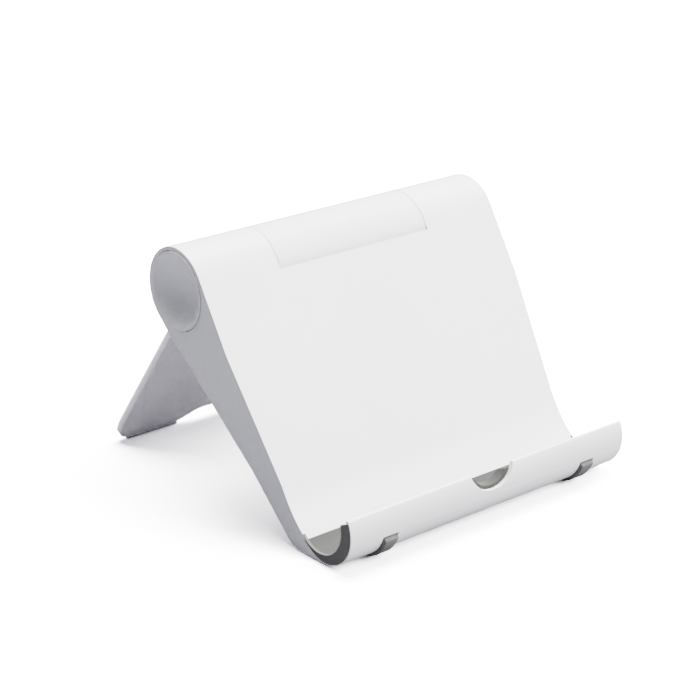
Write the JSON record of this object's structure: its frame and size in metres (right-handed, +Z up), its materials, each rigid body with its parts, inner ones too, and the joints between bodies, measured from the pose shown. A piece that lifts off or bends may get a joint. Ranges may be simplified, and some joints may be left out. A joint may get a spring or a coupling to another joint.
{
  "type": "tablet stand",
  "caption": "Folding tablet stand with a wedge-shaped front panel, a lined forward hook with a cable notch, and a rear leg on a barrel hinge.",
  "frame": {"origin": "centre of the footprint, on the resting plane", "axes": "+X along the barrel, +Y from the hook towards the rear leg, +Z up"},
  "size_m": [0.1082, 0.1148, 0.0735],
  "materials": {
    "panel_plastic": "satin moulded plastic",
    "leg_plastic": "satin moulded plastic",
    "cap_plastic": "satin moulded plastic",
    "silicone": "matt silicone",
    "pale_silicone": "matt silicone",
    "steel": "turned",
    "spring_steel": "spring steel",
    "acetal": "moulded acetal"
  },
  "bodies": {
    "panel": {"front_panel": "panel_plastic", "hook_liner": "silicone", "hook_foot_left": "silicone", "hook_foot_right": "silicone", "end_cap_left": "cap_plastic", "end_cap_right": "cap_plastic", "hinge_axle": "steel", "axle_screw_left": "steel", "axle_screw_right": "steel", "detent_ring_left": "acetal", "detent_ring_right": "acetal", "thrust_washer_left": "acetal", "thrust_washer_right": "acetal"},
    "leg": {"rear_leg": "leg_plastic", "leg_pad_left": "pale_silicone", "leg_pad_right": "pale_silicone", "detent_slider_left": "acetal", "detent_slider_right": "acetal", "spring_washers_left": "spring_steel", "spring_washers_right": "spring_steel"}
  },
  "joints": [
    {"name": "leg_hinge", "type": "hinge", "parent": "panel", "child": "leg", "pos_m": [0, 0.01315, 0.061], "axis": [1, 0, 0], "range_deg": [-74, 91]}
  ]
}
